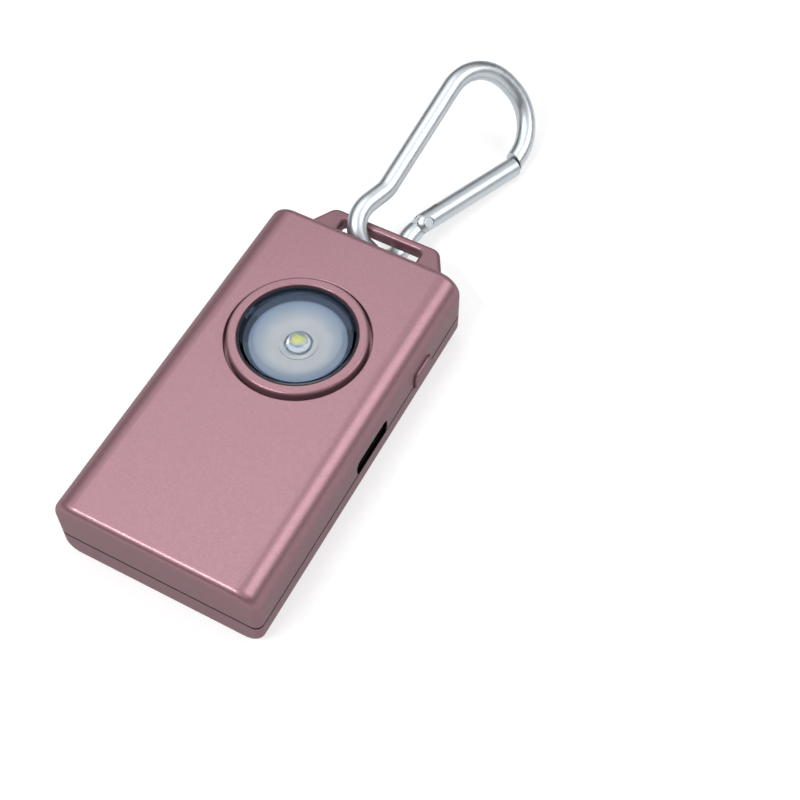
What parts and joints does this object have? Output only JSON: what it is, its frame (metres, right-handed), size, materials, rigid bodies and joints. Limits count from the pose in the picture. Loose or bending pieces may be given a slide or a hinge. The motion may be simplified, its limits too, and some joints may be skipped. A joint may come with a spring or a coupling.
{
  "type": "personal safety alarm",
  "caption": "Pocket alarm in a rounded flat case with a round torch lens, charging port, side button, a pull key with a slotted grip, and a spring-gate snap hook.",
  "frame": {"origin": "centre of the case's flat back face", "axes": "+Y along the case towards the pull key and the hook, +Z out of the front face with the torch, +X to the side with the port and the button"},
  "size_m": [0.0367, 0.1153, 0.0186],
  "materials": {
    "case_shell": "satin metallic rose paint with a fine sparkle",
    "bezel_ring": "satin metallic rose paint",
    "key_grip": "satin metallic rose paint",
    "button_cap": "satin metallic rose paint",
    "steel_screw": "zinc plated",
    "seal_rubber": "matte black",
    "clear_lens": "clear moulded",
    "reflector_white": "bright moulded",
    "led_white": "white moulded",
    "phosphor": "yellow phosphor",
    "board_green": "solder mask",
    "chip_black": "moulded black",
    "capacitor_tan": "fired",
    "coil_ferrite": "dark ferrite",
    "socket_steel": "drawn steel",
    "tongue_black": "moulded black",
    "switch_black": "moulded black",
    "plunger_grey": "moulded grey",
    "siren_brass": "rolled",
    "siren_white": "fired ceramic",
    "foam_grey": "soft foam",
    "lead_red": "insulated wire",
    "mesh_black": "fine woven",
    "cell_silver": "foil pouch",
    "contact_brass": "stamped",
    "pin_steel": "turned",
    "hook_metal": "polished",
    "gate_metal": "polished",
    "spring_steel": "drawn"
  },
  "bodies": {
    "case": {"front_shell": "case_shell", "rear_cover": "case_shell", "case_screws": "steel_screw", "lens_bezel": "bezel_ring", "lens_seal": "seal_rubber", "torch_lens": "clear_lens", "reflector": "reflector_white", "led_package": "led_white", "led_phosphor": "phosphor", "led_board": "board_green", "led_leads": "lead_red", "main_board": "board_green", "controller_chip": "chip_black", "charger_chip": "chip_black", "board_capacitors": "capacitor_tan", "siren_coil": "coil_ferrite", "charge_socket_shell": "socket_steel", "charge_socket_tongue": "tongue_black", "tact_switch": "switch_black", "siren_disc": "siren_brass", "siren_ceramic": "siren_white", "siren_foam": "foam_grey", "siren_leads": "lead_red", "dust_mesh": "mesh_black", "battery": "cell_silver", "battery_pad": "foam_grey", "battery_leads": "lead_red", "pull_switch_base": "switch_black", "lever_pin": "pin_steel", "fixed_contact": "contact_brass"},
    "pull_key": {"pull_key_head": "key_grip", "pull_key_tongue": "tongue_black"},
    "contact_lever": {"contact_lever": "contact_brass"},
    "side_button": {"side_button": "button_cap"},
    "switch_plunger": {"switch_plunger": "plunger_grey"},
    "snap_hook": {"snap_hook_frame": "hook_metal", "gate_rivet": "pin_steel"},
    "hook_gate": {"snap_hook_gate": "gate_metal", "gate_spring": "spring_steel"}
  },
  "joints": [
    {"name": "key_pull", "type": "slide", "parent": "case", "child": "pull_key", "axis": [0, 1, 0], "range_m": [0, 0.01]},
    {"name": "lever_swing", "type": "hinge", "parent": "case", "child": "contact_lever", "pos_m": [0.0065, 0.02475, 0.00867], "axis": [0, 0, 1], "range_deg": [0, 5.7]},
    {"name": "button_press", "type": "slide", "parent": "case", "child": "side_button", "axis": [-1, 0, 0], "range_m": [0, 0.00035], "stiffness_N_per_m": 300},
    {"name": "plunger_press", "type": "slide", "parent": "case", "child": "switch_plunger", "axis": [-1, 0, 0], "range_m": [0, 0.00035]},
    {"name": "hook_swing", "type": "hinge", "parent": "pull_key", "child": "snap_hook", "pos_m": [0, 0.03957, 0.00867], "axis": [1, 0, 0], "range_deg": [-20, 80]},
    {"name": "gate_open", "type": "hinge", "parent": "snap_hook", "child": "hook_gate", "pos_m": [0.0031, 0.04794, 0.00505], "axis": [0.7429, -0.1511, 0.6521], "range_deg": [0, 38], "stiffness_Nm_per_rad": 0.05, "springref_deg": -11.46, "deforming": ["gate_spring"]}
  ],
  "couplings": [
    {"joint": "lever_swing", "follows": "key_pull", "rad_per_m": 9.5},
    {"joint": "plunger_press", "follows": "button_press", "ratio": 1}
  ]
}
